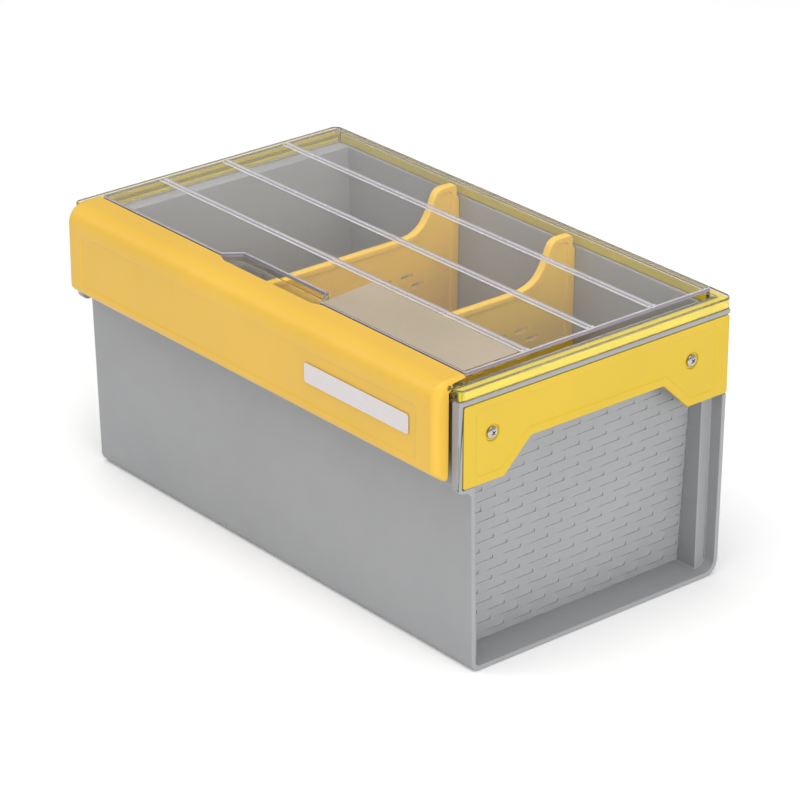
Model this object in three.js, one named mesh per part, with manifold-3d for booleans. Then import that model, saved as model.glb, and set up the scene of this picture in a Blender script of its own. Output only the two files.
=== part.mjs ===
// Latching utility box: a deep moulded bin with a clear hinged lid, a full-length front
// latch, a grip plate on each end and two lift-out dividers.
// Millimetres, +Z up, X along the length, -Y towards the latch.
// The origin is the centre of the bin's underside.
import * as THREE from 'three';
import { mergeVertices } from 'three/addons/utils/BufferGeometryUtils.js';
import Module from 'manifold-3d';

const wasm = await Module();
wasm.setup();

// ---- Driving dimensions ----
const GAP = 0.3;                      // clearance between pieces that rest on each other
const BITE = 1;                       // how far joined solids run into each other
const FAR = 170;                      // beyond every face of the box, for cuts that run right out
const WALL = 2.4;                     // bin wall
const FLOOR = 2.5;
const RIM_Z = 140.7;                  // top of the bin
const TOP_Z = 150;                    // top of the lid's raised panel
const ROUND_STEPS = 18;               // sides of a round hole or pin

// Bin walls as straight lines: position at the floor, and lean per millimetre of height.
const FRONT = { at: -78.8, lean: -0.0227 };
const BACK = { at: 78.8, lean: 0.0076 };
const BACK_INSIDE = { at: 72.2, lean: 0.01 };
const END_EDGE = { at: 147.55, lean: 0.0076 };      // where the front and back walls stop
const END_WALL = { at: 127.8, lean: 0.042 };        // the recessed end wall
const COLUMN = { face: 140.8, depth: 6.4 };         // stiffens each corner of the end recess
const BAND = { y: -84.6, z: 96, flare: 4 };         // front wall above the step, behind the latch
const BOTTOM_ROUND = { front: 5, back: 8 };
const SHELF = { y: -86.8, z: 137.7, slope: 1.1 };   // lip of the rim above the band
const EAR = { x: 143.8, y: -89.2, back: -76, z: 94.4, r: 4, topR: 1.2 };   // cheek beside each latch end

// Grip plates and their screws.
const PLATE = { face: 148.7, thick: 2.4, top: 137.9, front: -86, back: 79.4, r: 1.2 };
const PLATE_LOW = { front: 96.9, back: 97.2, opening: 112.6 };   // lower edge, either side of the opening
const OPENING = { frontLow: -61.6, front: -45.4, back: 37.6, backLow: 53.6, r: 4, lean: 0.4 };
const PLATE_INSET = { side: 9, top: 5.5, low: 6, deep: 0.5, slope: 2 };
const SCREWS = { front: [-68.6, 120.6], back: [55.8, 120.4] };   // centres in (y, z)
const SCREW = { head: 3, high: 1.7, rim: 0.5, shank: 1.45, length: 11, dimple: 4.25, sunk: 1.4 };
const CROSS = { long: 3.4, wide: 0.7, deep: 1, turn: Math.PI / 5 };
const BOSS = { r: 4.2, clear: 0.25, blind: 0.5 };

// Lid.
const LID = { x: 149.3, front: -86.6, tip: -89.4, back: 80.7, low: 141, r: 4.5 };
const VALLEY = { z: 143.7, low: 142.1 };      // thin web between the raised panel and the gasket channel
const PANEL = { x: 139.6, front: -77.9, back: 75.2, skin: 1.8, wall: 1.6, r: 1.5 };
const NOTCH = { left: -35, right: 28.5, slant: 6.8, y: -68.9, z: 145.5, floor: 1.4, r: 2, spread: 0.5 };
const CHANNEL = { x: 143.2, z: 146.9, frontInside: -81, frontZ: 145 };
const RIBS_Y = [-41, -1, 38];
const BEAD = { half: 0.8, high: 0.6, apart: 3.1, sunk: 0.4, end: 1.2 };

// Gasket: centre line offset from the lid's outer edge, section width and heights.
const GASKET = { edge: 3.1, wide: 4, low: 140.95, high: 145.7, frontHigh: 143.7, tip: 1.2, r: 2.6 };
const GROOVE_CLEAR = 0.25;

// Back hinges.
const HINGE = { y: 84, z: 140.6, barrel: 2.3, pin: 1.2, hole: 1.32, from: 80, to: 128, inset: 0.2 };
const HINGE_ARM = { inside: 2, root: 16, heel: 4, throat: 3 };   // depths below the hinge line
const KNUCKLES = 5;
const KNUCKLE_GAP = 0.5;

// Latch.
const LATCH = { x: 142.5, face: -98.5, top: 149.8, r: 10, rear: -79, skin: 2.2, rearSkin: 1.3, clear: 0.5 };
const LATCH_FOOT = { faceZ: 105.5, y: -90.8, z: 99.8, r: 4, tip: 2.7, rise: 1.2, insideR: 1 };
const LATCH_END = { thick: 2.5, y: -89.6, r: 3.5 };
const LATCH_PIN = { y: -89.3, z: 146.4, r: 1, hole: 1.12, cheek: 2.2, from: 131, to: 142.2 };
const LUG = { r: 1.9, root: 2, drop: 1.5, shoulder: 1.5, crown: 0.6, roundClear: 0.35, sideClear: 0.6 };
const SCOOP = { left: -34, right: 33, slant: 6, y: -81.5, r: 3 };
const INSET = { x0: -131, x1: 130, z0: 109, z1: 136.5, r: 3, deep: 0.6, slope: 2.2 };
const CATCH = { x: 60, half: 14, out: -87, z0: 113.5, z1: 117, slope: 1 };
const HOOK = { tip: -86.4, z0: 105.5, z1: 108.5, chamfer: 1, root: 1.5, narrow: 1 };
const LABEL = { x0: 49, x1: 124.5, z0: 119.8, z1: 129.8, r: 1.5, thick: 0.35 };

// Dividers.
const DIVIDER = { x: 43.75, half: 2.2, web: 1.2, rim: 3.2, into: 0.6, groove: 1, low: 125, high: 147 };
const POST = { back: 72.4, chamfer: 1.5 };    // tall part of a divider where it stands inside the lid
const FRONT_CHAMFER = 2;
// The divider's curved shoulder in (y, z): where it starts and ends, its waist, and the points
// that pull the curve between them.
const SWOOP = { top: 63, topPull: 56.5, waistIn: [57, 139.5], waist: [53.5, 134.5], waistOut: [49.5, 128] };
const SWOOP_FOOT = { pull: 46, end: 34 };
const SLOT = { half: 4.2, high: 1.2, r: 1.15, pitchY: 14, pitchZ: 6, rows: 3, columns: 6, z: 104, y: -30 };

const at = (line, z) => line.at + line.lean * z;

// ---- Shape helpers ----
function toSolid(geometry) {
  const bare = geometry.clone();
  bare.deleteAttribute('normal');
  bare.deleteAttribute('uv');
  const merged = mergeVertices(bare, 1e-4);
  return new wasm.Manifold(new wasm.Mesh({
    numProp: 3,
    vertProperties: new Float32Array(merged.attributes.position.array),
    triVerts: new Uint32Array(merged.index.array),
  }));
}

function toGeometry(solid) {
  const mesh = solid.getMesh();
  const geometry = new THREE.BufferGeometry();
  geometry.setAttribute('position', new THREE.BufferAttribute(mesh.vertProperties, 3));
  geometry.setIndex(new THREE.BufferAttribute(mesh.triVerts, 1));
  return geometry;
}

// A block between limits in x, y and z.
function block([x0, x1], [y0, y1], [z0, z1]) {
  const geometry = new THREE.BoxGeometry(x1 - x0, y1 - y0, z1 - z0);
  geometry.translate((x0 + x1) / 2, (y0 + y1) / 2, (z0 + z1) / 2);
  return toSolid(geometry);
}

// A block whose x and y limits differ between its bottom and its top.
function taperedBlock(bottom, top, [z0, z1]) {
  const geometry = new THREE.BoxGeometry(2, 2, 2);
  const position = geometry.attributes.position;
  for (let i = 0; i < position.count; i += 1) {
    const end = position.getZ(i) < 0 ? bottom : top;
    const x = end.x[position.getX(i) < 0 ? 0 : 1];
    const y = end.y[position.getY(i) < 0 ? 0 : 1];
    position.setXYZ(i, x, y, position.getZ(i) < 0 ? z0 : z1);
  }
  return toSolid(geometry);
}

// An arc is drawn with twice as many straight steps as detail. With an edge, both ends of the
// extrusion narrow by edge.reach over their last edge.run of length, in edge.steps rounded steps.
function extrude(shape, depth, detail, edge) {
  if (!edge) return new THREE.ExtrudeGeometry(shape, { depth, bevelEnabled: false, curveSegments: detail });
  const geometry = new THREE.ExtrudeGeometry(shape, {
    depth: depth - 2 * edge.run,
    bevelThickness: edge.run,
    bevelSize: edge.reach,
    bevelOffset: -edge.reach,
    bevelSegments: edge.steps,
    curveSegments: detail,
  });
  return geometry.translate(0, 0, edge.run);
}

// An outline drawn in (y, z), swept from x0 to x1.
function alongX(shape, x0, x1, detail = 2, edge = null) {
  const geometry = extrude(shape, x1 - x0, detail, edge);
  geometry.applyMatrix4(new THREE.Matrix4().makeBasis(
    new THREE.Vector3(0, 1, 0), new THREE.Vector3(0, 0, 1), new THREE.Vector3(1, 0, 0)));
  geometry.translate(x0, 0, 0);
  return toSolid(geometry);
}

// An outline drawn in (x, z), swept from y0 to y1.
function alongY(shape, y0, y1, detail = 2, edge = null) {
  const geometry = extrude(shape, y1 - y0, detail, edge);
  geometry.rotateX(Math.PI / 2);
  geometry.translate(0, y1, 0);
  return toSolid(geometry);
}

// An outline drawn in (x, y), swept from z0 to z1.
function alongZ(shape, z0, z1, detail = 2) {
  const geometry = extrude(shape, z1 - z0, detail, null);
  geometry.translate(0, 0, z0);
  return toSolid(geometry);
}

// A round bar lying along X.
function bar(radius, [x0, x1], [y, z], sides = ROUND_STEPS) {
  const geometry = new THREE.CylinderGeometry(radius, radius, x1 - x0, sides);
  geometry.rotateZ(Math.PI / 2);
  geometry.translate((x0 + x1) / 2, y, z);
  return toSolid(geometry);
}

function polygon(points) {
  return new THREE.Shape(points.map(([u, v]) => new THREE.Vector2(u, v)));
}

// A closed outline whose corners are rounded: each entry is [u, v, radius].
function roundedPolygon(corners) {
  const shape = new THREE.Shape();
  const count = corners.length;
  corners.forEach(([u, v, radius = 0], i) => {
    const here = new THREE.Vector2(u, v);
    const before = new THREE.Vector2(...corners[(i + count - 1) % count]).sub(here);
    const after = new THREE.Vector2(...corners[(i + 1) % count]).sub(here);
    const half = Math.abs(before.angleTo(after)) / 2;
    const setback = radius / Math.tan(half);
    const start = before.setLength(setback || 1e-9).add(here);
    const end = after.setLength(setback || 1e-9).add(here);
    if (i === 0) shape.moveTo(start.x, start.y);
    else shape.lineTo(start.x, start.y);
    if (radius > 0) arcBetween(shape, start, here, end, radius);
  });
  shape.closePath();
  return shape;
}

// Adds the arc that is tangent to both sides of a corner.
function arcBetween(shape, start, corner, end, radius) {
  const middle = start.clone().add(end).multiplyScalar(0.5).sub(corner);
  const reach = Math.hypot(radius, start.distanceTo(corner));
  const centre = middle.setLength(reach).add(corner);
  const from = Math.atan2(start.y - centre.y, start.x - centre.x);
  const to = Math.atan2(end.y - centre.y, end.x - centre.x);
  const turn = THREE.MathUtils.euclideanModulo(to - from, 2 * Math.PI);
  shape.absarc(centre.x, centre.y, radius, from, to, turn > Math.PI);
}

function roundedRectangle([x0, x1], [y0, y1], radius) {
  return roundedPolygon([[x0, y0, radius], [x1, y0, radius], [x1, y1, radius], [x0, y1, radius]]);
}

function unite(solids) {
  return solids.reduce((sum, solid) => sum.add(solid));
}

function mirroredX(solid) {
  return solid.mirror([1, 0, 0]);
}

function bothEnds(solid) {
  return solid.add(mirroredX(solid));
}

// ---- Bin ----
// Outer outline in (y, z), moved inwards by inset; its top is the underside of the rim when inset.
function binOutline(inset, top) {
  const front = (z) => at(FRONT, z) + inset;
  const back = (z) => at(BACK, z) - inset;
  const low = inset ? FLOOR : 0;
  return roundedPolygon([
    [front(low), low, BOTTOM_ROUND.front - inset],
    [back(low), low, BOTTOM_ROUND.back - inset],
    [back(top), top],
    [front(top), top],
  ]);
}

function rimBand() {
  const foot = BAND.z - BAND.flare;
  const outline = polygon([
    [at(FRONT, foot), foot],
    [0, foot],
    [0, RIM_Z],
    [SHELF.y, RIM_Z],
    [SHELF.y, SHELF.z + SHELF.slope],
    [BAND.y, SHELF.z - SHELF.slope],
    [BAND.y, BAND.z],
  ]);
  return alongX(outline, -FAR, FAR);
}

function ear() {
  const outline = roundedPolygon([
    [EAR.y, EAR.z, EAR.r],
    [EAR.back, EAR.z],
    [EAR.back, RIM_Z],
    [EAR.y, RIM_Z, EAR.topR],
  ]);
  return alongX(outline, EAR.x, FAR, 3);
}

// Keeps what lies inside the two leaning planes that end the front and back walls.
function endTrim() {
  const top = RIM_Z + BITE;
  const reach = (z) => ({ x: [-at(END_EDGE, z), at(END_EDGE, z)], y: [-FAR, FAR] });
  return taperedBlock(reach(0), reach(top), [0, top]);
}

function cavity() {
  const top = RIM_Z + BITE;
  const section = (z) => ({
    x: [-at(END_WALL, z) + WALL, at(END_WALL, z) - WALL],
    y: [at(FRONT, z) + WALL, at(BACK_INSIDE, z)],
  });
  return taperedBlock(section(FLOOR), section(top), [FLOOR, top]);
}

// The open space outside the right end wall, under the rim.
function endRecess() {
  const top = PLATE.top + GAP;
  const outside = (z) => ({ x: [at(END_WALL, z), FAR], y: [-FAR, FAR] });
  const wedge = taperedBlock(outside(0), outside(top), [0, top]);
  const inside = alongX(binOutline(WALL, top), 0, FAR);
  return inside.intersect(wedge).subtract(column(1)).subtract(column(-1));
}

// A column in the corner of the recess, against the back (side 1) or front (side -1) wall.
function column(side) {
  const wall = side > 0 ? BACK : FRONT;
  const face = (z) => at(wall, z) - side * (WALL + COLUMN.depth);
  const section = (z) => ({ x: [0, COLUMN.face], y: [face(z), side * FAR].sort((a, b) => a - b) });
  return taperedBlock(section(0), section(RIM_Z), [-BITE, RIM_Z]);
}

function screwBoss([y, z]) {
  return bar(BOSS.r, [at(END_WALL, z) - BITE, PLATE.face - PLATE.thick - GAP], [y, z]);
}

function screwHole([y, z]) {
  return bar(SCREW.shank + BOSS.clear, [at(END_WALL, z) + BOSS.blind, FAR], [y, z]);
}

function plateRebate() {
  return block(
    [PLATE.face - PLATE.thick - GAP, FAR],
    [PLATE.front - GAP, FAR],
    [PLATE_LOW.front - GAP, PLATE.top + GAP]);
}

// One catch rib on the band, which the latch's hook snaps under.
function catchRib(centre) {
  const inside = BAND.y + BITE;
  const outline = polygon([
    [inside, CATCH.z0 - CATCH.slope],
    [CATCH.out, CATCH.z0],
    [CATCH.out, CATCH.z1 - CATCH.slope],
    [inside, CATCH.z1 + CATCH.slope],
  ]);
  return alongX(outline, centre - CATCH.half, centre + CATCH.half);
}

function dividerGroove(centre) {
  const top = RIM_Z + BITE;
  const half = DIVIDER.half + GAP;
  const section = (z) => ({
    x: [centre - half, centre + half],
    y: [at(FRONT, z) + WALL - DIVIDER.groove, at(BACK_INSIDE, z) + DIVIDER.groove],
  });
  return taperedBlock(section(FLOOR), section(top), [FLOOR, top]);
}

// ---- Back hinges ----
// The knuckles of one hinge share its length; even ones belong to the bin, odd ones to the lid.
function knuckleSpans(parity) {
  const pitch = (HINGE.to - HINGE.from + KNUCKLE_GAP) / KNUCKLES;
  const starts = [...Array(KNUCKLES).keys()].filter((i) => i % 2 === parity);
  return starts.map((i) => [HINGE.from + i * pitch, HINGE.from + (i + 1) * pitch - KNUCKLE_GAP]);
}

function binKnuckle([x0, x1]) {
  const { y, z, barrel } = HINGE;
  const { inside, root, heel, throat } = HINGE_ARM;
  const arm = polygon([
    [BACK.at - inside, z - root],
    [y + barrel * 0.8, z - heel],
    [y + barrel, z],
    [y - barrel, z],
    [y - barrel, z - throat],
    [BACK.at - inside, z - throat],
  ]);
  return alongX(arm, x0, x1).add(bar(barrel, [x0, x1], [y, z]));
}

function lidKnuckle([x0, x1]) {
  const { y, z, barrel } = HINGE;
  const arm = polygon([
    [LID.back - BITE, LID.low],
    [y, z],
    [y, z + barrel],
    [LID.back - BITE, z + barrel],
  ]);
  return alongX(arm, x0, x1).add(bar(barrel, [x0, x1], [y, z]));
}

function hingeBore() {
  return bar(HINGE.hole, [HINGE.from - BITE, HINGE.to + BITE], [HINGE.y, HINGE.z]);
}

function makeBin() {
  const outside = unite([alongX(binOutline(0, RIM_Z), -FAR, FAR), rimBand(), bothEnds(ear())]);
  const added = [
    ...[CATCH.x, -CATCH.x].map(catchRib),
    ...knuckleSpans(0).map((span) => bothEnds(binKnuckle(span))),
  ];
  const bosses = bothEnds(unite(Object.values(SCREWS).map(screwBoss)));
  const cuts = [
    cavity(),
    bothEnds(plateRebate()),
    bothEnds(hingeBore()),
    bothEnds(unite(Object.values(SCREWS).map(screwHole))),
    ...[DIVIDER.x, -DIVIDER.x].map(dividerGroove),
  ];
  const walls = unite([outside.intersect(endTrim()), ...added]).subtract(bothEnds(endRecess()));
  return walls.add(bosses).subtract(unite(cuts));
}

// ---- Grip plates ----
// Outline in (y, z) of the right plate, moved inwards by side, top and low; the notch in its
// lower edge is the finger opening. Its outer corners have the radius round.
function plateOutline(side, top, low, round) {
  const lean = OPENING.lean * low;
  return roundedPolygon([
    [PLATE.front + side, PLATE_LOW.front + low, round],
    [OPENING.frontLow - lean, PLATE_LOW.front + low, round],
    [OPENING.front - lean, PLATE_LOW.opening + low, OPENING.r],
    [OPENING.back + lean, PLATE_LOW.opening + low, OPENING.r],
    [OPENING.backLow + lean, PLATE_LOW.back + low, round],
    [PLATE.back - side, PLATE_LOW.back + low, round],
    [PLATE.back - side, PLATE.top - top, round],
    [PLATE.front + side, PLATE.top - top, round],
  ]);
}

function makeGripPlate() {
  const { side, top, low, deep, slope } = PLATE_INSET;
  const rear = PLATE.face - PLATE.thick;
  const holes = Object.values(SCREWS).map((spot) => unite([
    bar(SCREW.shank + GAP, [rear - BITE, FAR], spot),
    bar(SCREW.dimple, [PLATE.face - SCREW.sunk, FAR], spot),
  ]));
  const hollow = plateOutline(side - slope, top - slope, low - slope, 2 * slope);
  const face = alongX(hollow, PLATE.face - deep, FAR, 3, { run: deep, reach: slope, steps: 2 });
  return alongX(plateOutline(0, 0, 0, PLATE.r), rear, PLATE.face, 3).subtract(unite([face, ...holes]));
}

// A pan-head screw along X with a cross recess, its head outwards.
function makeScrew([y, z]) {
  const { head, high, rim, shank, length, sunk } = SCREW;
  const seat = PLATE.face - sunk + GAP;
  const domeSteps = 3;
  const profile = [[0, -length], [shank, BITE - length], [shank, 0], [head, 0]];
  for (let i = 1; i <= domeSteps; i += 1) {
    const turn = (i / domeSteps) * (Math.PI / 2);
    profile.push([i === domeSteps ? 0 : head * Math.cos(turn), rim + (high - rim) * Math.sin(turn)]);
  }
  const body = new THREE.LatheGeometry(profile.map((point) => new THREE.Vector2(...point)), 16);
  body.rotateZ(-Math.PI / 2);
  body.translate(seat, y, z);
  const arms = [0, Math.PI / 2].map((turn) => {
    const arm = new THREE.BoxGeometry(2 * CROSS.deep, CROSS.long, CROSS.wide);
    arm.rotateX(turn + CROSS.turn);
    arm.translate(seat + high, y, z);
    return toSolid(arm);
  });
  return toSolid(body).subtract(unite(arms));
}

// ---- Lid ----
function lidOutline() {
  return roundedRectangle([-LID.x, LID.x], [LID.tip, LID.back], LID.r);
}

// Panel edge in (x, y), moved inwards by inset, with the thumb notch in its front side.
function notchedOutline(inset) {
  const { x, front, back, r } = PANEL;
  const shift = inset * NOTCH.spread;
  return roundedPolygon([
    [-x + inset, front + inset, r],
    [NOTCH.left - NOTCH.slant - shift, front + inset, r],
    [NOTCH.left - shift, NOTCH.y + inset, NOTCH.r],
    [NOTCH.right + shift, NOTCH.y + inset, NOTCH.r],
    [NOTCH.right + NOTCH.slant + shift, front + inset, r],
    [x - inset, front + inset, r],
    [x - inset, back - inset, r],
    [-x + inset, back - inset, r],
  ]);
}

function panelOutline(inset) {
  const { x, front, back, r } = PANEL;
  return roundedRectangle([-x + inset, x - inset], [front + inset, back - inset], r);
}

// The raised panel, with a floor across the thumb notch.
function raisedPanel() {
  return alongZ(notchedOutline(0), NOTCH.z - BITE, TOP_Z).add(alongZ(panelOutline(0), LID.low, NOTCH.z));
}

// The hollow under the raised panel and under the floor of its notch.
function panelHollow() {
  const upper = alongZ(notchedOutline(PANEL.wall), LID.low - BITE, TOP_Z - PANEL.skin);
  return upper.add(alongZ(panelOutline(PANEL.wall), LID.low - BITE, NOTCH.z - NOTCH.floor));
}

// Clears the lid's front edge between its two tips, where the latch closes over it.
function latchSpace() {
  const side = LATCH.x + LATCH.clear;
  return block([-side, side], [-FAR, LID.front], [LID.low - BITE, FAR]);
}

// The rim that holds the gasket: tall walls round the ends and back, a low wall in front.
function ringWalls() {
  const inside = { x: [-CHANNEL.x, CHANNEL.x], back: LID.back - (LID.x - CHANNEL.x) };
  const ring = alongZ(lidOutline(), LID.low, CHANNEL.z, 3);
  const above = block(inside.x, [-FAR, inside.back], [VALLEY.z, FAR]);
  const below = block(inside.x, [CHANNEL.frontInside, inside.back], [LID.low - BITE, VALLEY.low]);
  const front = block(
    [-CHANNEL.x - BITE, CHANNEL.x + BITE], [LID.front, CHANNEL.frontInside], [LID.low, CHANNEL.frontZ]);
  return ring.subtract(unite([above, below])).add(front);
}

// The gasket and its groove share one path: a tall run round the ends and back, a low one in front.
function gasketRun(clear) {
  const half = GASKET.wide / 2 + clear;
  const line = LID.x - GASKET.edge;
  const backLine = LID.back - GASKET.edge;
  const frontLine = (LID.front + CHANNEL.frontInside) / 2;
  const low = GASKET.low - 2 * clear;
  const high = GASKET.high + clear;
  const outer = roundedRectangle([-line - half, line + half], [frontLine - half, backLine + half], GASKET.r);
  const inner = roundedRectangle([-line + half, line - half], [frontLine + half, backLine - half], 1);
  const ring = alongZ(outer, low, high, 3).subtract(alongZ(inner, low - BITE, high + BITE));
  const frontDrop = block([-line + half, line - half], [-FAR, 0], [GASKET.frontHigh + clear, FAR]);
  const tip = block([line - half, line + half], [LID.tip + GASKET.tip - clear, 0], [low, high]);
  return ring.subtract(frontDrop).add(bothEnds(tip));
}

// One rounded bead of a stiffening rib, running along X on top of the panel.
function bead(centre) {
  const { half, high, sunk, end } = BEAD;
  const outline = new THREE.Shape();
  outline.absellipse(centre, TOP_Z, half, high, 0, Math.PI, false, 0);
  outline.lineTo(centre - half, TOP_Z - sunk);
  outline.lineTo(centre + half, TOP_Z - sunk);
  return alongX(outline, end - PANEL.x, PANEL.x - end, 3);
}

// Lug at the right end of the lid's front edge, which the latch pin turns in. Its root slopes
// down behind the pin, to clear the latch's skin as it opens.
function latchLug() {
  const { y, z, from } = LATCH_PIN;
  const { r, root, drop, shoulder, crown } = LUG;
  const outline = polygon([
    [y, CHANNEL.frontZ - drop],
    [LID.front + root, CHANNEL.frontZ - drop],
    [LID.front + root, CHANNEL.frontZ],
    [y + shoulder, z + crown / 3],
    [y, z + crown],
  ]);
  return alongX(outline, from, PANEL.x).add(bar(r, [from, PANEL.x], [y, z]));
}

function makeLid() {
  const { y, z, hole, from } = LATCH_PIN;
  const beads = RIBS_Y.flatMap((rib) => [bead(rib - BEAD.apart / 2), bead(rib + BEAD.apart / 2)]);
  const knuckles = knuckleSpans(1).map((span) => bothEnds(lidKnuckle(span)));
  const shell = ringWalls().subtract(latchSpace()).add(raisedPanel());
  const whole = unite([shell, bothEnds(latchLug()), ...beads, ...knuckles]);
  const pinHole = bar(hole, [from - BITE, LATCH.x + LATCH.clear], [y, z]);
  const cuts = [panelHollow(), gasketRun(GROOVE_CLEAR), bothEnds(hingeBore()), bothEnds(pinHole)];
  return whole.subtract(unite(cuts));
}

function makeHingePin() {
  return bar(HINGE.pin, [HINGE.from + HINGE.inset, HINGE.to - HINGE.inset], [HINGE.y, HINGE.z]);
}

// ---- Latch ----
// Section in (y, z) of the latch's skin.
function latchSkin() {
  const { face, top, r, rear, skin, rearSkin } = LATCH;
  const { faceZ, y, z, tip, rise, insideR } = LATCH_FOOT;
  return roundedPolygon([
    [rear, top],
    [face, top, r],
    [face, faceZ, LATCH_FOOT.r],
    [y, z],
    [y, z + tip],
    [face + skin, faceZ + rise, insideR],
    [face + skin, top - skin, r - skin],
    [LATCH_PIN.y, top - skin],
    [rear, top - rearSkin],
  ]);
}

// Section in (y, z) of the latch's closed ends.
function latchCheek() {
  return roundedPolygon([
    [LATCH.rear, LATCH.top],
    [LATCH.face, LATCH.top, LATCH.r],
    [LATCH.face, LATCH_FOOT.faceZ, LATCH_FOOT.r],
    [LATCH_FOOT.y, LATCH_FOOT.z],
    [LATCH_END.y, LATCH_FOOT.z + BITE],
    [LATCH_END.y, LATCH_PIN.z],
    [LATCH_PIN.y, LATCH.top - LATCH.skin],
    [LATCH.rear, LATCH.top - LATCH.rearSkin],
  ]);
}

// The space the latch may fill: its section swept along X, with both ends rounded over.
function latchEnvelope() {
  const outline = roundedPolygon([
    [FAR, LATCH.top],
    [LATCH.face, LATCH.top, LATCH.r],
    [LATCH.face, LATCH_FOOT.faceZ, LATCH_FOOT.r],
    [LATCH_FOOT.y, LATCH_FOOT.z],
    [FAR, LATCH_FOOT.z],
  ]);
  return alongX(outline, -LATCH.x, LATCH.x, 4, { run: LATCH_END.r, reach: LATCH_END.r, steps: 4 });
}

// Shallow scoop in the rear edge of the latch's top, which leaves the lid's thumb notch clear.
function thumbScoop() {
  const { left, right, slant, y, r } = SCOOP;
  const shape = roundedPolygon([
    [left - slant, LATCH.rear],
    [left, y, r],
    [right, y, r],
    [right + slant, LATCH.rear],
    [right + slant, LATCH.rear + BITE],
    [left - slant, LATCH.rear + BITE],
  ]);
  return alongZ(shape, LATCH_PIN.z, FAR, 3);
}

function latchHook(centre) {
  const inside = LATCH.face + LATCH.skin - BITE;
  const half = CATCH.half - HOOK.narrow;
  const outline = polygon([
    [inside, HOOK.z0 - HOOK.root],
    [HOOK.tip + HOOK.chamfer, HOOK.z0],
    [HOOK.tip, HOOK.z0 + HOOK.chamfer],
    [HOOK.tip, HOOK.z1],
    [inside, HOOK.z1 + HOOK.chamfer],
  ]);
  return alongX(outline, centre - half, centre + half);
}

// The shallow panel sunk in the latch's face, with sloping sides.
function insetPanel() {
  const { x0, x1, z0, z1, r, deep, slope } = INSET;
  const edge = { run: deep, reach: slope, steps: 2 };
  return alongY(roundedRectangle([x0, x1], [z0, z1], r), -FAR, LATCH.face + deep, 2, edge);
}

function makeLatch() {
  const { y, z, cheek, hole, from } = LATCH_PIN;
  const endFace = LATCH.x - LATCH_END.thick;
  const ends = alongX(latchCheek(), endFace, LATCH.x, 4).add(bar(cheek, [endFace, LATCH.x], [y, z]));
  const lugSpace = bar(LUG.r + LUG.roundClear, [from - LUG.sideClear, endFace], [y, z]);
  const pinHole = bar(hole, [endFace - BITE, FAR], [y, z]);
  const cuts = unite([thumbScoop(), insetPanel(), bothEnds(lugSpace), bothEnds(pinHole)]);
  const solid = unite([
    alongX(latchSkin(), -LATCH.x, LATCH.x, 4),
    bothEnds(ends),
    ...[CATCH.x, -CATCH.x].map(latchHook),
  ]);
  return solid.intersect(latchEnvelope()).subtract(cuts);
}

function makeLatchPin() {
  return bar(LATCH_PIN.r, [LATCH_PIN.from + GAP, LATCH_PIN.to], [LATCH_PIN.y, LATCH_PIN.z]);
}

function makeLabel() {
  const shape = roundedRectangle([LABEL.x0, LABEL.x1], [LABEL.z0, LABEL.z1], LABEL.r);
  const back = LATCH.face + INSET.deep - GAP;
  return alongY(shape, back - LABEL.thick, back);
}

// ---- Dividers ----
// Outline in (y, z), moved inwards by inset: a low front part that swoops up to a tall post at
// the back wall.
function dividerOutline(inset = 0) {
  const edge = inset * 1.6;      // wider at the ends, where the divider stands in its grooves
  const front = (z) => at(FRONT, z) + WALL - DIVIDER.into + edge;
  const back = (z) => at(BACK_INSIDE, z) + DIVIDER.into - edge;
  const low = FLOOR + GAP + inset;
  const frontTop = DIVIDER.low - inset;
  const backTop = DIVIDER.high - inset;
  const post = POST.back - inset;
  const [waistY, waistZ] = SWOOP.waist;
  const shape = new THREE.Shape();
  shape.moveTo(front(low), low);
  shape.lineTo(back(low), low);
  shape.lineTo(back(RIM_Z), RIM_Z - POST.chamfer);
  shape.lineTo(post, RIM_Z);
  shape.lineTo(post, backTop - POST.chamfer);
  shape.lineTo(post - POST.chamfer, backTop);
  shape.lineTo(SWOOP.top + inset / 2, backTop);
  shape.bezierCurveTo(
    SWOOP.topPull + inset, backTop,
    SWOOP.waistIn[0] + inset, SWOOP.waistIn[1],
    waistY + inset, waistZ - inset / 2);
  shape.bezierCurveTo(
    SWOOP.waistOut[0] + inset, SWOOP.waistOut[1] - inset,
    SWOOP_FOOT.pull, frontTop,
    SWOOP_FOOT.end, frontTop);
  shape.lineTo(front(frontTop) + FRONT_CHAMFER, frontTop);
  shape.lineTo(front(frontTop), frontTop - FRONT_CHAMFER);
  return shape;
}

// Sinks the web of a divider on one side, so that a thicker rim is left all round it.
function webRecess(centre, side) {
  const near = centre + side * DIVIDER.web;
  const far = centre + side * (DIVIDER.half + BITE);
  return alongX(dividerOutline(DIVIDER.rim), Math.min(near, far), Math.max(near, far), 6);
}

function ventSlot(y, z) {
  return roundedRectangle([y - SLOT.half, y + SLOT.half], [z - SLOT.high, z + SLOT.high], SLOT.r);
}

function makeDivider(centre) {
  const span = [centre - DIVIDER.half, centre + DIVIDER.half];
  const cuts = [webRecess(centre, 1), webRecess(centre, -1)];
  for (let row = 0; row < SLOT.rows; row += 1) {
    for (let column = 0; column < SLOT.columns; column += 1) {
      const y = SLOT.y + (column + (row % 2) / 2) * SLOT.pitchY;
      cuts.push(alongX(ventSlot(y, SLOT.z - row * SLOT.pitchZ), span[0] - BITE, span[1] + BITE, 1));
    }
  }
  return alongX(dividerOutline(), ...span, 6).subtract(unite(cuts));
}

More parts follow.
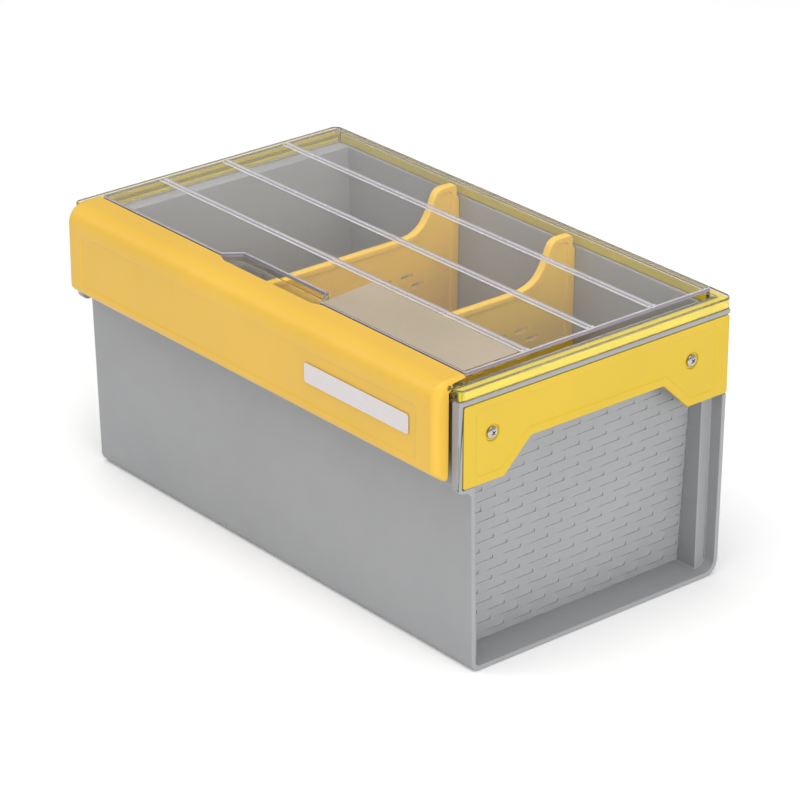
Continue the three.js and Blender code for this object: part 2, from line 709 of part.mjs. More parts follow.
// ---- Materials and assembly ----
const FINISH = {
  grey: { color: 0x9b9fa1, roughness: 0.55, metalness: 0 },
  yellow: { color: 0xe8bd4a, roughness: 0.45, metalness: 0 },
  clear: { color: 0xdcdcda, roughness: 0.06, metalness: 0, transparent: true, opacity: 0.35 },
  seal: { color: 0xe2d02c, roughness: 0.5, metalness: 0 },
  white: { color: 0xe6e2e0, roughness: 0.6, metalness: 0 },
  steel: { color: 0xc8c8c8, roughness: 0.25, metalness: 1 },
};

const toolbox = new THREE.Group();

function addPiece(name, solid, finish) {
  const mesh = new THREE.Mesh(toGeometry(solid), new THREE.MeshStandardMaterial(FINISH[finish]));
  mesh.name = name;
  toolbox.add(mesh);
}

function addPair(name, solid, finish) {
  addPiece(`${name}_right`, solid, finish);
  addPiece(`${name}_left`, mirroredX(solid), finish);
}

addPiece('bin', makeBin(), 'grey');
addPair('grip_plate', makeGripPlate(), 'yellow');
for (const [place, spot] of Object.entries(SCREWS)) {
  addPiece(`grip_screw_right_${place}`, makeScrew(spot), 'steel');
  addPiece(`grip_screw_left_${place}`, mirroredX(makeScrew(spot)), 'steel');
}
addPair('divider', makeDivider(DIVIDER.x), 'yellow');
addPair('hinge_pin', makeHingePin(), 'steel');
addPiece('lid', makeLid(), 'clear');
addPiece('gasket', gasketRun(0), 'seal');
addPiece('latch', makeLatch(), 'yellow');
addPair('latch_pin', makeLatchPin(), 'steel');
addPiece('label', makeLabel(), 'white');

export default toolbox;
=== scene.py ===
import math

import bmesh
import bpy
from mathutils import Matrix, Vector


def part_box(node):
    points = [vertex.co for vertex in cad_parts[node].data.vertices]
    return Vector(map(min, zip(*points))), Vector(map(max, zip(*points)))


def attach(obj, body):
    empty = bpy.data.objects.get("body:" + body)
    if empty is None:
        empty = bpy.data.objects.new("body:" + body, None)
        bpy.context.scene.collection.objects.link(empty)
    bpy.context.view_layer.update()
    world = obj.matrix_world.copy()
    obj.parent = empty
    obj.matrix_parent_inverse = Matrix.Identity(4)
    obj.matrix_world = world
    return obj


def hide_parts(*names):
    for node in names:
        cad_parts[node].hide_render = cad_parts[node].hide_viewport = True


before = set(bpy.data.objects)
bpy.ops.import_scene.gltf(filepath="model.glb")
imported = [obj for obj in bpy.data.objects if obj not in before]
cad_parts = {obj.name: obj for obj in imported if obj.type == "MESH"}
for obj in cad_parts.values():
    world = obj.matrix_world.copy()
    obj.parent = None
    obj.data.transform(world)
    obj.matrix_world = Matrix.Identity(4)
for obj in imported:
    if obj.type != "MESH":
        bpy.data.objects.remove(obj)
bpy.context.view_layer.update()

MM = 0.001

# ---- Camera and light: degrees, metres, the lens in millimetres and the lamps in watts ----
VIEW = {"azimuth": 50.3085, "elevation": 24.8216, "metres": 1.8, "lens": 162.63}
AIM = Vector((-2.7, 2.4, 62.1)) * MM
LAMPS = {
    "key": {"place": (-1.6, -1.5, 1.7), "size": (1.2, 1.2), "power": 9},
    "top": {"place": (0.1, -0.4, 2.4), "size": (2.0, 2.0), "power": 36},
    "side": {"place": (2.4, -0.6, 0.9), "size": (1.8, 1.2), "power": 36, "mirrored": False},
}
SKY_STRENGTH = 0.5
FLOOR_SIZE = 12
FLOOR_GLOW = 0.05

# ---- Driving dimensions, in millimetres unless a name says otherwise ----
FLOOR_DROP = 0.2
LID_TOP = 150

# Vertices closer than this are one, where flats are joined and where they aren't.
WELD = {"joined": 0.01, "plain": 0.06}

# Faces that turn less than flat are joined; edges that turn more than the others are rounded or hard.
DEGREES = {"flat": 0.8, "bevel": 30, "relief": 30, "screw": 35, "divider": 35}

# The recessed end wall leans outwards as it rises, between two stiffening columns.
END_WALL = {"at": 127.8, "lean": 0.042, "low": 2.6, "high": 137}
COLUMN_FRONT = {"at": -70.0, "lean": -0.0227}
COLUMN_BACK = {"at": 70.0, "lean": 0.0076}

# The relief's tiles. Shares run from 0 to 1: u along a tile towards the back, and v down it.
TILE = {"long": 17.2, "high": 5.45, "base": 0.4, "rise": 0.8, "root": 0.3, "gutter": 0.85, "slit": 0.55}
TILE_COLUMNS = (0, 0.3, 0.5, 0.7, 0.82, 0.9, 0.95, 0.98, 1)
TILE_ROWS = (0, 0.3, 0.55, 0.75, 0.9, 1)
TILE_CORNER = {"u": (0.86, 1), "v": (0.6, 1), "long": 0.7, "high": 0.6}
TILE_OPENS = {"gutter": (0.35, 0.8), "slit": (0.3, 0.7)}
TILE_SPOTS = range(-5, 5)

# A tile's top edge rises by this share of what its bottom edge does.
TILE_TOP_SHARE = 0.25

# A tile that a column cuts down to less than this share is left out.
SMALLEST_SHARE = 0.05

SCREW = {"head": 3.0, "dome": 1.6, "rim": 0.45, "shank": 1.45, "length": 11, "sunk": 1.1, "sides": 40}
SCREW_TIP = {"radius": 0.3, "high": 0.2}
HEAD_CHAMFER = {"wide": 0.15, "high": 0.12}
DOME_STEPS = 10
THREAD = {"turns": 10, "pitch": 0.9, "deep": 0.3, "start": 1.4}
CROSS = {"reach": 1.9, "wide": 0.9, "deep": 1.3, "turn": 36, "taper": 0.45}
SCREW_SPOTS = {"front": (-68.6, 120.6), "back": (55.8, 120.4)}

# The dividers' vent slots lie between these (y, z) corners, and only the edges outside are rounded.
VENTS = {"low": (-45, 85), "high": (60, 110)}
DIVIDER_ROUND = 0.7

# Each of the lid's ribs is a pair of beads with a flat strip between them; strip is half its width.
RIBS = {"y": (-41, -1, 38), "strip": 1.5, "fade": 0.2}

PAD = {
    "left_front": 37, "left_back": 33, "right": 138, "front": -77.3, "back": -44.4,
    "gap": 0.02, "thick": 0.14, "round": 1.5,
}

# ---- Colours; a pair holds the two that a surface drifts between ----
GREY = (0.308, 0.312, 0.32)
LATCH_YELLOW = (0.71, 0.43, 0.042)
PLATE_YELLOW = (0.6, 0.41, 0.018)
DIVIDER_YELLOW = (0.82, 0.5, 0.03)
SEAL_YELLOW = (0.62, 0.5, 0.01)
# Painted highlight on the clear lid's rounded edges and ribs.
EDGE_PAINTED_HIGHLIGHT = (0.82, 0.8, 0.85)
# Painted reflection on the clear lid's steep walls below the ribs.
WALL_PAINTED_REFLECTION = (0.34, 0.3, 0.38)
# Painted shade in the seal's colour on the clear lid's rounded edges below the panel.
SKIRT_PAINTED_SHADE = (0.34, 0.27, 0.1)
CLEAR_PAIR = ((0.975, 0.968, 0.955), (0.985, 0.98, 0.972))
PAD_PAIR = ((0.54, 0.47, 0.36), (0.6, 0.52, 0.41))
STEEL_PAIR = ((0.45, 0.43, 0.42), (0.6, 0.58, 0.56))
LABEL_PAIR = ((0.6, 0.565, 0.565), (0.66, 0.62, 0.62))
PAPER_PAIR = ((0.93, 0.93, 0.93), (0.95, 0.95, 0.95))
WHITE = (1, 1, 1, 1)

# Heights on the clear lid above which its walls get painted highlight and reflection, and above which
# they belong to the ribs.
PAINTED_LIGHT_FROM = {"walls": 147.9 * MM, "ribs": 149.95 * MM}
# How strongly the painted highlight and reflection cover the lid's walls and its rib strips.
PAINTED_LIGHT_SHARE = {"walls": 0.8, "strips": 0.4}

# Noise values lie mostly in this span.
NOISE_SPAN = (0.3, 0.7)

# Moulded plastic: how its colour drifts, how pale and how wide its paler edges are, and how strongly the
# paling shows.
PLASTIC = {"dark": 0.965, "light": 1.03, "pale": 1.35, "edge": 0.7, "paling": 0.35}


# ---- Shader helpers ----
def new_material(name):
    made = bpy.data.materials.new(name)
    made.use_nodes = True
    tree = made.node_tree
    return made, tree, tree.nodes["Principled BSDF"]


def add_node(tree, kind, inputs=None, **settings):
    """Adds a shader node; an input is either a plain value or the socket that feeds it."""
    made = tree.nodes.new(kind)
    for key, value in settings.items():
        setattr(made, key, value)
    for key, value in (inputs or {}).items():
        if isinstance(value, bpy.types.NodeSocket):
            tree.links.new(value, made.inputs[key])
        else:
            made.inputs[key].default_value = value
    return made


def calculate(tree, operation, *values):
    """One step of arithmetic on plain values or sockets."""
    inputs = dict(enumerate(values))
    return add_node(tree, "ShaderNodeMath", inputs, operation=operation).outputs["Value"]


def place_on(tree, stretch=(1, 1, 1)):
    """Coordinates in metres that stay with the piece, scaled along each axis."""
    where = add_node(tree, "ShaderNodeTexCoord").outputs["Object"]
    mapping = add_node(tree, "ShaderNodeMapping", {"Vector": where, "Scale": stretch})
    return mapping.outputs["Vector"]


def noise(tree, where, scale, detail=2.0, roughness=0.5):
    inputs = {"Vector": where, "Scale": scale, "Detail": detail, "Roughness": roughness}
    return add_node(tree, "ShaderNodeTexNoise", inputs).outputs["Fac"]


def fit(tree, value, low, high, start=0.0, end=1.0):
    """Maps value from low...high to start...end, and holds it there."""
    inputs = {"Value": value, "From Min": low, "From Max": high, "To Min": start, "To Max": end}
    return add_node(tree, "ShaderNodeMapRange", inputs).outputs["Result"]


def drift(tree, texture, start=0.0, end=1.0):
    """Wanders from start to end with a noise texture."""
    return fit(tree, texture, *NOISE_SPAN, start, end)


def blend_colors(tree, factor, first, second):
    mix = add_node(tree, "ShaderNodeMix", data_type="RGBA")
    tree.links.new(factor, mix.inputs["Factor"])
    for key, value in (("A", first), ("B", second)):
        socket = next(s for s in mix.inputs if s.name == key and s.type == "RGBA")
        if isinstance(value, bpy.types.NodeSocket):
            tree.links.new(value, socket)
        else:
            socket.default_value = (*value, 1)
    return next(s for s in mix.outputs if s.type == "RGBA")


def mix_shaders(tree, factor, first, second):
    inputs = {0: factor, 1: first, 2: second}
    return add_node(tree, "ShaderNodeMixShader", inputs).outputs["Shader"]


def feed(tree, shader, key, value):
    """Lets a socket drive one input of the shader."""
    tree.links.new(value, shader.inputs[key])


def add_bump(tree, shader, height, strength, depth):
    """Fine relief from a texture, depth millimetres deep."""
    inputs = {"Height": height, "Strength": strength, "Distance": depth * MM}
    feed(tree, shader, "Normal", add_node(tree, "ShaderNodeBump", inputs).outputs["Normal"])


def edge_mask(tree, radius):
    """One along edges and zero on flats, from how far a rounded normal turns from the true one."""
    rounded = add_node(tree, "ShaderNodeBevel", {"Radius": radius}, samples=4).outputs["Normal"]
    flat = add_node(tree, "ShaderNodeNewGeometry").outputs["Normal"]
    inputs = {0: rounded, 1: flat}
    same = add_node(tree, "ShaderNodeVectorMath", inputs, operation="DOT_PRODUCT").outputs["Value"]
    return fit(tree, same, 0.995, 0.86)


def part_of(tree, output, axis):
    """One axis of a texture coordinate output."""
    where = add_node(tree, "ShaderNodeTexCoord").outputs[output]
    return add_node(tree, "ShaderNodeSeparateXYZ", {"Vector": where}).outputs[axis]


def height_mask(tree, output, low, high):
    """Zero where the upright part of an output has the size low, and one where it has the size high."""
    size = calculate(tree, "ABSOLUTE", part_of(tree, output, "Z"))
    return fit(tree, size, low, high)


def rib_strips(tree):
    """One on the lid's top between the twin beads of each rib, and zero elsewhere."""
    across = part_of(tree, "Object", "Y")
    top = height_mask(tree, "Object", (LID_TOP - 0.2) * MM, (LID_TOP - 0.1) * MM)
    nearest = 1.0
    for rib in RIBS["y"]:
        away = calculate(tree, "ABSOLUTE", calculate(tree, "SUBTRACT", across, rib * MM))
        nearest = calculate(tree, "MINIMUM", away, nearest)
    inner = (RIBS["strip"] - RIBS["fade"]) * MM
    return calculate(tree, "MULTIPLY", top, fit(tree, nearest, RIBS["strip"] * MM, inner))


def scaled(color, factor):
    return tuple(min(1.0, channel * factor) for channel in color)


def let_lamps_through(tree, surface, share):
    """Lamps shine through the surface, dimmed to share, while it keeps its look everywhere else."""
    gap = add_node(tree, "ShaderNodeBsdfTransparent", {"Color": (share, share, share, 1)})
    shadow = add_node(tree, "ShaderNodeLightPath").outputs["Is Shadow Ray"]
    mixed = mix_shaders(tree, shadow, surface, gap.outputs["BSDF"])
    feed(tree, tree.nodes["Material Output"], "Surface", mixed)


# ---- Materials ----
def moulded_plastic(name, color, roughness):
    """Injection moulded plastic: fine grain, slow colour drift, faint scuffs and paler edges."""
    made, tree, shader = new_material(name)
    place = place_on(tree)
    slow = drift(tree, noise(tree, place, scale=14, detail=4))
    tone = blend_colors(tree, slow, scaled(color, PLASTIC["dark"]), scaled(color, PLASTIC["light"]))
    patchy = fit(tree, noise(tree, place, scale=160, detail=3), 0.4, 0.65)
    edges = calculate(tree, "MULTIPLY", edge_mask(tree, PLASTIC["edge"] * MM), patchy)
    paled = calculate(tree, "MULTIPLY", edges, PLASTIC["paling"])
    feed(tree, shader, "Base Color", blend_colors(tree, paled, tone, scaled(color, PLASTIC["pale"])))
    scuffs = noise(tree, place_on(tree, (1, 5, 1)), scale=90, detail=5, roughness=0.65)
    feed(tree, shader, "Roughness", fit(tree, scuffs, 0.35, 0.7, roughness - 0.05, roughness + 0.07))
    grain = noise(tree, place, scale=1500, roughness=0.6)
    add_bump(tree, shader, grain, strength=0.5, depth=0.03)
    return made


def painted_light_share(tree):
    """The share of painted highlight and reflection on the lid: its steep walls and its rib strips."""
    high = height_mask(tree, "Object", PAINTED_LIGHT_FROM["walls"], PAINTED_LIGHT_FROM["walls"] + 0.2 * MM)
    steep = calculate(tree, "MULTIPLY", height_mask(tree, "Normal", 0.985, 0.75), high)
    walls = calculate(tree, "MULTIPLY", steep, PAINTED_LIGHT_SHARE["walls"])
    strips = calculate(tree, "MULTIPLY", rib_strips(tree), PAINTED_LIGHT_SHARE["strips"])
    return calculate(tree, "MAXIMUM", walls, strips)


def clear_plastic():
    """Clear polycarbonate: glossy, with soft handling marks, and with painted highlight on its ribs and
    painted reflection on its lower walls.
    """
    made, tree, shader = new_material("clear_polycarbonate")
    shader.inputs["Transmission Weight"].default_value = 1
    shader.inputs["IOR"].default_value = 1.5
    shader.inputs["Specular IOR Level"].default_value = 0.35
    smears = noise(tree, place_on(tree, (1, 2.5, 1)), scale=22, detail=5, roughness=0.6)
    feed(tree, shader, "Roughness", fit(tree, smears, 0.4, 0.75, 0.012, 0.05))
    tint = fit(tree, noise(tree, place_on(tree), scale=9), 0.35, 0.65)
    feed(tree, shader, "Base Color", blend_colors(tree, tint, *CLEAR_PAIR))
    add_bump(tree, shader, noise(tree, place_on(tree), scale=60), strength=0.1, depth=0.05)
    # Painted highlight on the ribs and painted reflection on the walls below them.
    ribs = height_mask(tree, "Object", PAINTED_LIGHT_FROM["ribs"], PAINTED_LIGHT_FROM["ribs"] + 0.1 * MM)
    painted_light_color = blend_colors(tree, ribs, WALL_PAINTED_REFLECTION, EDGE_PAINTED_HIGHLIGHT)
    painted_light = add_node(tree, "ShaderNodeBsdfPrincipled", {"Base Color": painted_light_color, "Roughness": 0.2})
    mixed = mix_shaders(tree, painted_light_share(tree), shader.outputs["BSDF"], painted_light.outputs["BSDF"])
    let_lamps_through(tree, mixed, 0.9)
    return made


def clear_edge():
    """The clear moulding's rounded edges: a streaked painted highlight round the panel, and painted
    shade in the seal's colour below.
    """
    made, tree, shader = new_material("clear_edge")
    streaks = drift(tree, noise(tree, place_on(tree, (1, 1, 0.2)), scale=45, detail=3))
    # Streaked painted highlight for the edges round the panel.
    pale = blend_colors(tree, streaks, scaled(EDGE_PAINTED_HIGHLIGHT, 0.8), EDGE_PAINTED_HIGHLIGHT)
    panel = height_mask(tree, "Object", PAINTED_LIGHT_FROM["walls"], PAINTED_LIGHT_FROM["walls"] + 0.2 * MM)
    feed(tree, shader, "Base Color", blend_colors(tree, panel, SKIRT_PAINTED_SHADE, pale))
    feed(tree, shader, "Roughness", drift(tree, noise(tree, place_on(tree), scale=300), 0.15, 0.3))
    shader.inputs["Transmission Weight"].default_value = 0.35
    shader.inputs["IOR"].default_value = 1.3
    let_lamps_through(tree, shader.outputs["BSDF"], 0.8)
    return made


def frosted_plastic():
    """The etched pad on the lid: a pale, warm matt film that lets blurred light through."""
    made, tree, shader = new_material("frosted_pad")
    shader.inputs["Transmission Weight"].default_value = 0.45
    shader.inputs["IOR"].default_value = 1.3
    slow = drift(tree, noise(tree, place_on(tree), scale=25, detail=3))
    feed(tree, shader, "Base Color", blend_colors(tree, slow, *PAD_PAIR))
    feed(tree, shader, "Roughness", drift(tree, noise(tree, place_on(tree), scale=300), 0.5, 0.62))
    add_bump(tree, shader, noise(tree, place_on(tree), scale=2600), strength=0.5, depth=0.02)
    let_lamps_through(tree, shader.outputs["BSDF"], 0.6)
    return made


def soft_rubber(name, color):
    """Silicone seal: satin, with a slow colour drift and a dusting of fine specks."""
    made, tree, shader = new_material(name)
    place = place_on(tree)
    slow = drift(tree, noise(tree, place, scale=30, detail=3))
    feed(tree, shader, "Base Color", blend_colors(tree, slow, scaled(color, 0.95), scaled(color, 1.05)))
    feed(tree, shader, "Roughness", drift(tree, noise(tree, place, scale=220, detail=3), 0.38, 0.52))
    add_bump(tree, shader, noise(tree, place, scale=900, detail=3), strength=0.4, depth=0.04)
    return made


def plated_steel():
    """Bright zinc-plated steel with fine turning marks."""
    made, tree, shader = new_material("plated_steel")
    shader.inputs["Metallic"].default_value = 1
    place = place_on(tree)
    slow = drift(tree, noise(tree, place, scale=500, detail=3))
    feed(tree, shader, "Base Color", blend_colors(tree, slow, *STEEL_PAIR))
    feed(tree, shader, "Roughness", drift(tree, noise(tree, place, scale=900, detail=4), 0.14, 0.3))
    marks = noise(tree, place_on(tree, (0.2, 1, 1)), scale=4000)
    add_bump(tree, shader, marks, strength=0.25, depth=0.01)
    return made


def label_stock():
    """Satin white label film with a faint fibre mottle."""
    made, tree, shader = new_material("label_film")
    place = place_on(tree)
    mottle = drift(tree, noise(tree, place, scale=700, detail=4, roughness=0.7))
    feed(tree, shader, "Base Color", blend_colors(tree, mottle, *LABEL_PAIR))
    feed(tree, shader, "Roughness", drift(tree, noise(tree, place, scale=80, detail=3), 0.42, 0.55))
    add_bump(tree, shader, noise(tree, place, scale=2200), strength=0.3, depth=0.02)
    return made


def floor_paper():
    """Matt white paper that glows a little, so that the floor fades into the background."""
    made, tree, shader = new_material("floor_paper")
    slow = drift(tree, noise(tree, place_on(tree), scale=3))
    feed(tree, shader, "Base Color", blend_colors(tree, slow, *PAPER_PAIR))
    shader.inputs["Roughness"].default_value = 0.9
    shader.inputs["Emission Color"].default_value = WHITE
    shader.inputs["Emission Strength"].default_value = FLOOR_GLOW
    return made


# ---- Mesh helpers ----
def shade_smooth(data, crease=None):
    """Smooth shading, with hard edges where the surface turns more than crease degrees."""
    for face in data.polygons:
        face.use_smooth = True
    if crease:
        data.set_sharp_from_angle(angle=math.radians(crease))


def smooth_edges(piece, width, steps, limit, edge_slot, join):
    """Joins the faceted solid back up and rounds its sharper edges."""
    weld = piece.modifiers.new("weld", "WELD")
    weld.merge_threshold = WELD["joined" if join else "plain"] * MM
    if join:
        flats = piece.modifiers.new("flats", "DECIMATE")
        flats.decimate_type = "DISSOLVE"
        flats.angle_limit = math.radians(DEGREES["flat"])
    rounding = piece.modifiers.new("rounding", "BEVEL")
    rounding.width = width * MM
    rounding.segments = steps
    rounding.limit_method = "ANGLE"
    rounding.angle_limit = math.radians(limit)
    rounding.use_clamp_overlap = False
    rounding.miter_outer = "MITER_ARC"
    rounding.face_strength_mode = "FSTR_ALL"
    rounding.material = edge_slot
    shade_smooth(piece.data)
    normals = piece.modifiers.new("normals", "WEIGHTED_NORMAL")
    normals.keep_sharp = True
    normals.use_face_influence = True


def to_object(name, mesh):
    data = bpy.data.meshes.new(name)
    bmesh.ops.recalc_face_normals(mesh, faces=mesh.faces)
    mesh.to_mesh(data)
    mesh.free()
    made = bpy.data.objects.new(name, data)
    bpy.context.scene.collection.objects.link(made)
    return made


def finish_piece(piece, body, slot, material, *nodes):
    """Gives a new piece its material and body, and hides the CAD nodes that it replaces. The slot is not
    used.
    """
    piece.data.materials.clear()
    piece.data.materials.append(material)
    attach(piece, body)
    if nodes:
        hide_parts(*nodes)


# ---- End wall relief ----
def wall_point(side, y, z, out):
    x = END_WALL["at"] + END_WALL["lean"] * z + out
    return Vector((side * x, y, z)) * MM


def ease(value, start, end):
    """Rises smoothly from zero at start to one at end."""
    part = min(1.0, max(0.0, (value - start) / (end - start)))
    return part * part * (3 - 2 * part)


def tile_point(side, start, z_top, u, v):
    """A point on a tile's face, which rises towards its far lower corner. That corner is rounded;
    a gutter opens beyond the far end and a slit below the tile."""
    corner = ease(u, *TILE_CORNER["u"]) * ease(v, *TILE_CORNER["v"])
    gutter = TILE["gutter"] * ease(v, *TILE_OPENS["gutter"]) + TILE_CORNER["long"] * corner
    slit = TILE["slit"] * ease(u, *TILE_OPENS["slit"]) + TILE_CORNER["high"] * corner
    out = TILE["base"] + TILE["rise"] * u * u * (TILE_TOP_SHARE + (1 - TILE_TOP_SHARE) * v)
    return wall_point(side, start + u * (TILE["long"] - gutter), z_top - v * (TILE["high"] - slit), out)


def add_tile(mesh, side, start, ends, z_top):
    """One tile, rooted in the wall, whose face covers the share of its length between the ends."""
    rows = [v for v in TILE_ROWS if z_top - v * TILE["high"] >= END_WALL["low"]]
    columns = [ends[0] + (ends[1] - ends[0]) * u for u in TILE_COLUMNS]
    grid = [[mesh.verts.new(tile_point(side, start, z_top, u, v)) for u in columns] for v in rows]
    for upper, lower in zip(grid, grid[1:]):
        for k in range(len(upper) - 1):
            mesh.faces.new((upper[k], upper[k + 1], lower[k + 1], lower[k]))
    rim = grid[0] + [row[-1] for row in grid[1:]] + grid[-1][-2::-1] + [row[0] for row in grid[-2:0:-1]]
    wall = END_WALL["at"] + END_WALL["lean"] * z_top - TILE["root"] - END_WALL["lean"] * TILE["high"]
    back = [mesh.verts.new((side * wall * MM, vert.co.y, vert.co.z)) for vert in rim]
    for k, vert in enumerate(rim):
        mesh.faces.new((rim[k - 1], back[k - 1], back[k], vert))
    mesh.faces.new(back)


def add_tile_row(mesh, side, row, z_top):
    """The tiles of one row, cut off at the columns; every other row is shifted by half a tile."""
    low = COLUMN_FRONT["at"] + COLUMN_FRONT["lean"] * z_top
    high = COLUMN_BACK["at"] + COLUMN_BACK["lean"] * z_top
    for k in TILE_SPOTS:
        start = (k + (row % 2) / 2) * TILE["long"]
        ends = [min(1, max(0, (limit - start) / TILE["long"])) for limit in (low, high)]
        if ends[1] - ends[0] > SMALLEST_SHARE:
            add_tile(mesh, side, start, ends, z_top)


def end_relief(name, side):
    """Brick-like rows of shallow ramps that fill the recessed end wall between its columns."""
    mesh = bmesh.new()
    rows = int((END_WALL["high"] - END_WALL["low"]) / TILE["high"]) + 1
    for row in range(rows):
        z_top = END_WALL["high"] - row * TILE["high"]
        if z_top - TILE_ROWS[1] * TILE["high"] < END_WALL["low"]:
            break
        add_tile_row(mesh, side, row, z_top)
    relief = to_object(name, mesh)
    shade_smooth(relief.data, DEGREES["relief"])
    return relief


# ---- Screws ----
def lathe(mesh, profile, sides):
    """Turns (radius, height) points round the X axis into a closed solid."""
    turns = [2 * math.pi * i / sides for i in range(sides)]
    rings = []
    for radius, out in profile:
        if radius == 0:
            rings.append([mesh.verts.new(Vector((out, 0, 0)) * MM)] * sides)
            continue
        rings.append([mesh.verts.new(
            Vector((out, radius * math.cos(t), radius * math.sin(t))) * MM) for t in turns])
    for low, high in zip(rings, rings[1:]):
        for i in range(sides):
            corners = [low[i], low[(i + 1) % sides], high[(i + 1) % sides], high[i]]
            mesh.faces.new(list(dict.fromkeys(corners)))


def thread_profile(root):
    """Ridges up the shank, as (radius, height) points."""
    points = []
    for turn in range(THREAD["turns"]):
        at = -SCREW["length"] + THREAD["start"] + turn * THREAD["pitch"]
        points += [(root, at), (SCREW["shank"], at + THREAD["pitch"] / 2)]
    return points


def dome_profile():
    """The round of the head below its very top, as (radius, height) points."""
    high = SCREW["dome"] - SCREW["rim"]
    turns = [math.pi / 2 * i / DOME_STEPS for i in range(DOME_STEPS)]
    return [(SCREW["head"] * math.cos(turn), SCREW["rim"] + high * math.sin(turn)) for turn in turns]


def screw_profile():
    root = SCREW["shank"] - THREAD["deep"]
    end, head = -SCREW["length"], SCREW["head"]
    tip = [(0, end), (SCREW_TIP["radius"], end + SCREW_TIP["high"])]
    seat = [(root, 0), (head - HEAD_CHAMFER["wide"], 0), (head, HEAD_CHAMFER["high"])]
    return tip + thread_profile(root) + seat + dome_profile() + [(0, SCREW["dome"])]


def cross_cutter():
    """Two crossed bars that get narrower towards the bottom of the recess."""
    mesh = bmesh.new()
    for turn in (0, 90):
        spin = Matrix.Rotation(math.radians(turn + CROSS["turn"]), 3, "X")
        for vert in bmesh.ops.create_cube(mesh, size=1)["verts"]:
            taper = 1.0 if vert.co.x > 0 else CROSS["taper"]
            vert.co.x *= CROSS["deep"] * 2
            vert.co.y *= CROSS["wide"] * taper
            vert.co.z *= CROSS["reach"] * 2 * taper
            vert.co.rotate(spin)
            vert.co = (vert.co + Vector((SCREW["dome"], 0, 0))) * MM
    return to_object("cross_cutter", mesh)


def cut_cross(screw):
    """Cuts the cross recess into the screw's mesh for good."""
    cutter = cross_cutter()
    cut = screw.modifiers.new("cross", "BOOLEAN")
    cut.operation = "DIFFERENCE"
    cut.solver = "EXACT"
    cut.use_self = True
    cut.object = cutter
    bpy.context.view_layer.update()
    graph = bpy.context.evaluated_depsgraph_get()
    shape = bpy.data.meshes.new_from_object(screw.evaluated_get(graph))
    screw.modifiers.clear()
    screw.data = shape
    bpy.data.objects.remove(cutter)


def make_screw(name, side, spot, face):
    """A pan-head screw, head outwards, with rolled threads and a cross recess."""
    mesh = bmesh.new()
    lathe(mesh, screw_profile(), SCREW["sides"])
    screw = to_object(name, mesh)
    cut_cross(screw)
    place = Matrix.Translation(Vector((side * (face - SCREW["sunk"]), *spot)) * MM)
    facing = Matrix.Scale(1, 4) if side > 0 else Matrix.Rotation(math.pi, 4, "Z")
    screw.data.transform(place @ facing)
    shade_smooth(screw.data, DEGREES["screw"])
    return screw


# ---- Dividers ----
def is_outline(edge):
    """True for a corner edge of a divider that isn't part of its vent slots."""
    low, high = VENTS["low"], VENTS["high"]
    in_vents = all(low[0] < v.co.y / MM < high[0] and low[1] < v.co.z / MM < high[1] for v in edge.verts)
    return edge.is_manifold and edge.calc_face_angle() > math.radians(DEGREES["bevel"]) and not in_vents


def make_divider(name, node):
    """The divider's own solid with its outline well rounded and its vent slots left crisp."""
    mesh = bmesh.new()
    mesh.from_mesh(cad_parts[node].data)
    bmesh.ops.remove_doubles(mesh, verts=mesh.verts, dist=WELD["joined"] * MM)
    flat = math.radians(DEGREES["flat"])
    bmesh.ops.dissolve_limit(mesh, angle_limit=flat, verts=mesh.verts, edges=mesh.edges)
    outline = [edge for edge in mesh.edges if is_outline(edge)]
    bmesh.ops.bevel(
        mesh, geom=outline, offset=DIVIDER_ROUND * MM, segments=3, profile=0.5, affect="EDGES",
        miter_outer="ARC")
    divider = to_object(name, mesh)
    shade_smooth(divider.data, DEGREES["divider"])
    divider.modifiers.new("normals", "WEIGHTED_NORMAL").keep_sharp = True
    return divider


# ---- Frosted pad ----
def make_pad():
    """Thin film on the lid between the latch and the first rib, its left edge beside the thumb notch."""
    corners = [
        (PAD["left_front"], PAD["front"]), (PAD["right"], PAD["front"]),
        (PAD["right"], PAD["back"]), (PAD["left_back"], PAD["back"]),
    ]
    mesh = bmesh.new()
    base = [mesh.verts.new(Vector((x, y, LID_TOP + PAD["gap"])) * MM) for x, y in corners]
    face = mesh.faces.new(base)
    raised = bmesh.ops.extrude_face_region(mesh, geom=[face])["geom"]
    for vert in [v for v in raised if isinstance(v, bmesh.types.BMVert)]:
        vert.co.z += PAD["thick"] * MM
    half = PAD["thick"] * MM / 2
    upright = [e for e in mesh.edges if abs(e.verts[0].co.z - e.verts[1].co.z) > half]
    bmesh.ops.bevel(
        mesh, geom=upright, offset=PAD["round"] * MM, segments=6, affect="EDGES", profile=0.5)
    return to_object("lid_pad", mesh)


# ---- Camera, light and floor ----
def make_camera():
    azimuth, elevation = math.radians(VIEW["azimuth"]), math.radians(VIEW["elevation"])
    back = Vector((
        math.sin(azimuth) * math.cos(elevation),
        -math.cos(azimuth) * math.cos(elevation),
        math.sin(elevation),
    ))
    data = bpy.data.cameras.new("camera")
    data.sensor_width = 36
    data.lens = VIEW["lens"]
    data.clip_start, data.clip_end = 0.1, 50
    camera = bpy.data.objects.new("camera", data)
    camera.location = AIM + back * VIEW["metres"]
    camera.rotation_euler = (-back).to_track_quat("-Z", "Y").to_euler()
    bpy.context.scene.collection.objects.link(camera)
    bpy.context.scene.camera = camera


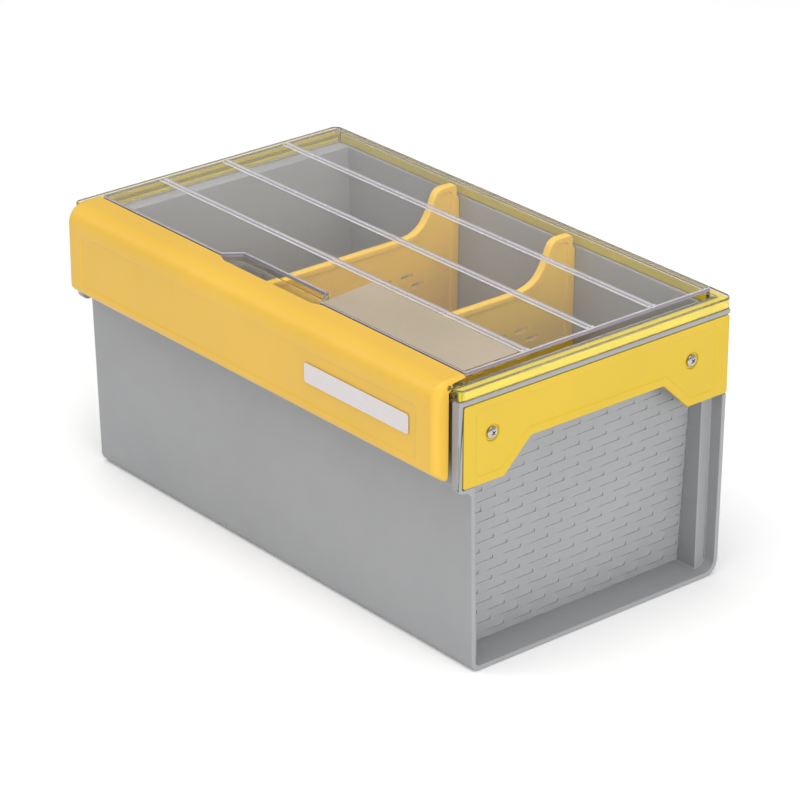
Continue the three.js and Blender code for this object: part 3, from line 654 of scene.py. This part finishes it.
def soft_box(name, place, size, power, mirrored=True):
    """A rectangular lamp aimed at the box; one that isn't mirrored leaves no glare on the clear lid."""
    data = bpy.data.lights.new(name, "AREA")
    data.shape = "RECTANGLE"
    data.size, data.size_y = size
    data.energy = power
    light = bpy.data.objects.new(name, data)
    light.location = place
    light.visible_glossy = mirrored
    light.rotation_euler = (AIM - Vector(place)).to_track_quat("-Z", "Y").to_euler()
    bpy.context.scene.collection.objects.link(light)


def make_studio():
    for name, lamp in LAMPS.items():
        soft_box(name, **lamp)
    world = bpy.data.worlds.new("studio")
    world.use_nodes = True
    background = world.node_tree.nodes["Background"]
    background.inputs["Color"].default_value = WHITE
    background.inputs["Strength"].default_value = SKY_STRENGTH
    bpy.context.scene.world = world
    bpy.context.scene.view_settings.view_transform = "Standard"


def make_floor():
    bpy.ops.mesh.primitive_plane_add(size=FLOOR_SIZE, location=(0, 0, -FLOOR_DROP * MM))
    floor = bpy.context.object
    floor.name = "floor"
    floor.data.materials.append(floor_paper())


# ---- Assembly ----
def dress(node, material, width, steps=2, limit=DEGREES["bevel"], edge=None, join=True):
    """Gives a CAD node its material and rounded edges, which may have a material of their own."""
    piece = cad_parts[node]
    piece.data.materials.clear()
    piece.data.materials.append(material)
    if edge:
        piece.data.materials.append(edge)
    smooth_edges(piece, width, steps, limit, 1 if edge else -1, join)


def add_screws(end, side, material):
    """The two screws of a grip plate; both plates stand equally far out."""
    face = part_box("grip_plate_right")[1][0] / MM
    for place, spot in SCREW_SPOTS.items():
        screw = make_screw("screw_" + end + "_" + place, side, spot, face)
        finish_piece(screw, "root", "steel", material, "grip_screw_" + end + "_" + place)


make_camera()
make_studio()
make_floor()

grey = moulded_plastic("grey_polypropylene", GREY, 0.5)
latch_yellow = moulded_plastic("latch_polypropylene", LATCH_YELLOW, 0.42)
plate_yellow = moulded_plastic("plate_polypropylene", PLATE_YELLOW, 0.4)
divider_yellow = moulded_plastic("divider_polypropylene", DIVIDER_YELLOW, 0.45)
clear = clear_plastic()
steel = plated_steel()
seal = soft_rubber("yellow_seal", SEAL_YELLOW)

dress("bin", grey, 0.5, join=False)
for end, side in (("right", 1), ("left", -1)):
    dress("grip_plate_" + end, plate_yellow, 0.35)
    divider = make_divider("divider_panel_" + end, "divider_" + end)
    finish_piece(divider, "root", "yellow_plastic", divider_yellow, "divider_" + end)
    dress("hinge_pin_" + end, steel, 0.2)
    dress("latch_pin_" + end, steel, 0.2)
    finish_piece(end_relief("end_relief_" + end, side), "root", "grey_plastic", grey)
    add_screws(end, side, steel)
dress("latch", latch_yellow, 0.3, steps=3)
dress("label", label_stock(), 0.1)
dress("gasket", seal, 0.8, steps=3)
dress("lid", clear, 0.3, limit=40, edge=clear_edge())
finish_piece(make_pad(), "lid", "clear_plastic", frosted_plastic())
